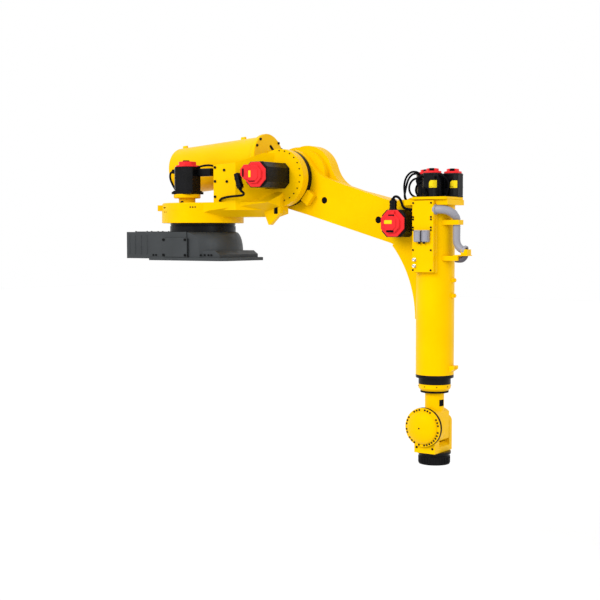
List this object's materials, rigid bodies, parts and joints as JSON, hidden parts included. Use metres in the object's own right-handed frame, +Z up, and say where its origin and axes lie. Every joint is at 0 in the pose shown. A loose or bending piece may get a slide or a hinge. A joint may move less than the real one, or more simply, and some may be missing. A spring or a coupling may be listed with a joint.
{
  "type": "industrial robot arm",
  "caption": "Six-axis industrial robot arm for a raised stand: slewing turret with a balancer, offset lower arm, and a long forearm that hangs below the base.",
  "frame": {"origin": "on the slewing axis at the base's mounting face", "axes": "+X forward along the arm, +Z up, +Y to the lower arm's side"},
  "size_m": [2.675, 0.7479, 2.1511],
  "materials": {
    "yellow_paint": "satin",
    "grey_paint": "satin",
    "black_metal": "satin",
    "red_cap": "satin",
    "grey_metal": "satin",
    "black_rubber": "matte"
  },
  "bodies": {
    "base": {"base_casting": "grey_paint", "base_connector_box": "grey_paint", "base_side_cover": "grey_paint", "base_connector_panel": "grey_paint", "slew_ring": "black_metal"},
    "turret": {"turret_casting": "yellow_paint", "j1_motor_flange": "yellow_paint", "j1_motor": "black_metal", "j1_motor_cap": "red_cap", "j2_motor": "black_metal", "j2_motor_cap": "red_cap", "j2_motor_plug": "black_metal", "j2_motor_cable": "black_rubber", "j2_seal_ring": "black_metal", "balancer_cylinder": "yellow_paint", "balancer_head": "yellow_paint", "balancer_rear_cap": "yellow_paint", "balancer_bracket": "yellow_paint"},
    "lower_arm": {"lower_arm_casting": "yellow_paint", "lower_arm_stop": "yellow_paint", "balancer_pin": "grey_metal"},
    "forearm": {"forearm_casting": "yellow_paint", "forearm_cover": "yellow_paint", "motor_plate": "yellow_paint", "j3_motor": "black_metal", "j3_motor_cap": "red_cap", "j3_motor_plug": "black_metal", "j3_motor_cable": "black_rubber", "j3_seal_ring": "black_metal", "j4_motor": "black_metal", "j4_motor_cap": "red_cap", "j5_motor": "black_metal", "j5_motor_cap": "red_cap", "j6_motor": "black_metal", "j6_motor_cap": "red_cap", "panel_connectors": "grey_metal", "conduit": "grey_metal", "conduit_clamp_upper": "yellow_paint", "conduit_clamp_lower": "yellow_paint", "j4_seal_ring": "black_metal"},
    "wrist": {"wrist_neck": "yellow_paint"},
    "wrist_fork_body": {"wrist_fork": "yellow_paint", "j5_cover": "yellow_paint"},
    "flange_body": {"tool_flange": "black_metal"}
  },
  "joints": [
    {"name": "j1_slew", "type": "hinge", "parent": "base", "child": "turret", "pos_m": [0, 0, 0.262], "axis": [0, 0, 1], "range_deg": [-185, 185]},
    {"name": "j2_shoulder", "type": "hinge", "parent": "turret", "child": "lower_arm", "pos_m": [0.655, 0, 0.567], "axis": [0, 1, 0], "range_deg": [-70, 60]},
    {"name": "j3_elbow", "type": "hinge", "parent": "lower_arm", "child": "forearm", "pos_m": [1.65299, 0, 0.25042], "axis": [0, -1, 0], "range_deg": [-65, 150]},
    {"name": "j4_roll", "type": "hinge", "parent": "forearm", "child": "wrist", "pos_m": [1.86299, 0, -0.69258], "axis": [0, 0, -1], "range_deg": [-360, 360]},
    {"name": "j5_bend", "type": "hinge", "parent": "wrist", "child": "wrist_fork_body", "pos_m": [1.86299, 0, -1.01158], "axis": [0, 1, 0], "range_deg": [-125, 125]},
    {"name": "j6_flange", "type": "hinge", "parent": "wrist_fork_body", "child": "flange_body", "pos_m": [1.86299, 0, -1.25558], "axis": [0, 0, -1], "range_deg": [-360, 360]}
  ]
}
